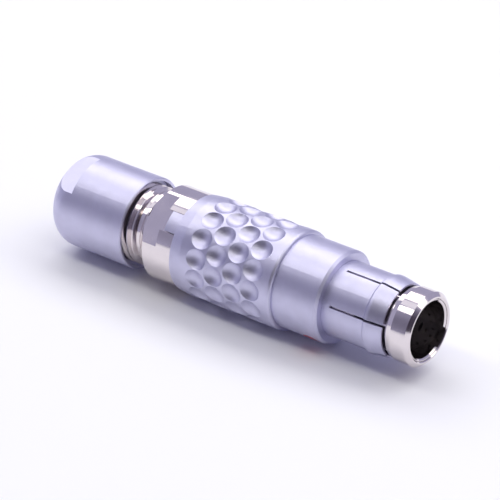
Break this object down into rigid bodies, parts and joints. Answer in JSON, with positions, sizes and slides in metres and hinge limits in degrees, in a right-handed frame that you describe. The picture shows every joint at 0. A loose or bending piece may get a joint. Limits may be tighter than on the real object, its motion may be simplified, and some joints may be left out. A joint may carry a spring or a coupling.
{
  "type": "push-pull circular connector",
  "caption": "Straight push-pull cable plug with a slotted latch sleeve, a dimpled sliding release shell, a keyed contact insert and a collet back nut.",
  "frame": {"origin": "centre of the nose rim, on the plug's axis", "axes": "+Z along the plug's axis towards the cable end; +X square to the first pair of spanner flats on the rear body"},
  "size_m": [0.015, 0.015, 0.0635],
  "materials": {
    "satin_chrome": "satin, blasted",
    "polished_nickel": "polished",
    "red_enamel": "gloss",
    "insulator_black": "matte",
    "gold_contact": "gold plated",
    "plated_brass": "nickel plated"
  },
  "bodies": {
    "plug_core": {"nose_tube": "polished_nickel", "rear_body": "polished_nickel", "half_shell_a": "polished_nickel", "half_shell_b": "polished_nickel", "insulator": "insulator_black", "contact_1": "gold_contact", "contact_2": "gold_contact", "contact_3": "gold_contact", "contact_4": "gold_contact", "contact_5": "gold_contact", "contact_6": "gold_contact", "contact_7": "gold_contact", "contact_8": "gold_contact", "contact_9": "gold_contact", "contact_10": "gold_contact", "shield_cone": "plated_brass"},
    "release_shell": {"outer_shell": "satin_chrome", "alignment_dot": "red_enamel", "latch_sleeve": "satin_chrome"},
    "cable_clamp": {"collet": "plated_brass"},
    "nut": {"back_nut": "satin_chrome"}
  },
  "joints": [
    {"name": "shell_release", "type": "slide", "parent": "plug_core", "child": "release_shell", "axis": [0, 0, 1], "range_m": [0, 0.0013], "stiffness_N_per_m": 300},
    {"name": "clamp_slide", "type": "slide", "parent": "plug_core", "child": "cable_clamp", "axis": [0, 0, 1], "range_m": [-0.0032, 0.002]},
    {"name": "nut_turn", "type": "hinge", "parent": "cable_clamp", "child": "nut", "pos_m": [0, 0, 0.0553], "axis": [0, 0, 1], "range_deg": [-1150, 715]}
  ],
  "couplings": [
    {"joint": "clamp_slide", "follows": "nut_turn", "m_per_rad": 0.00015915}
  ]
}
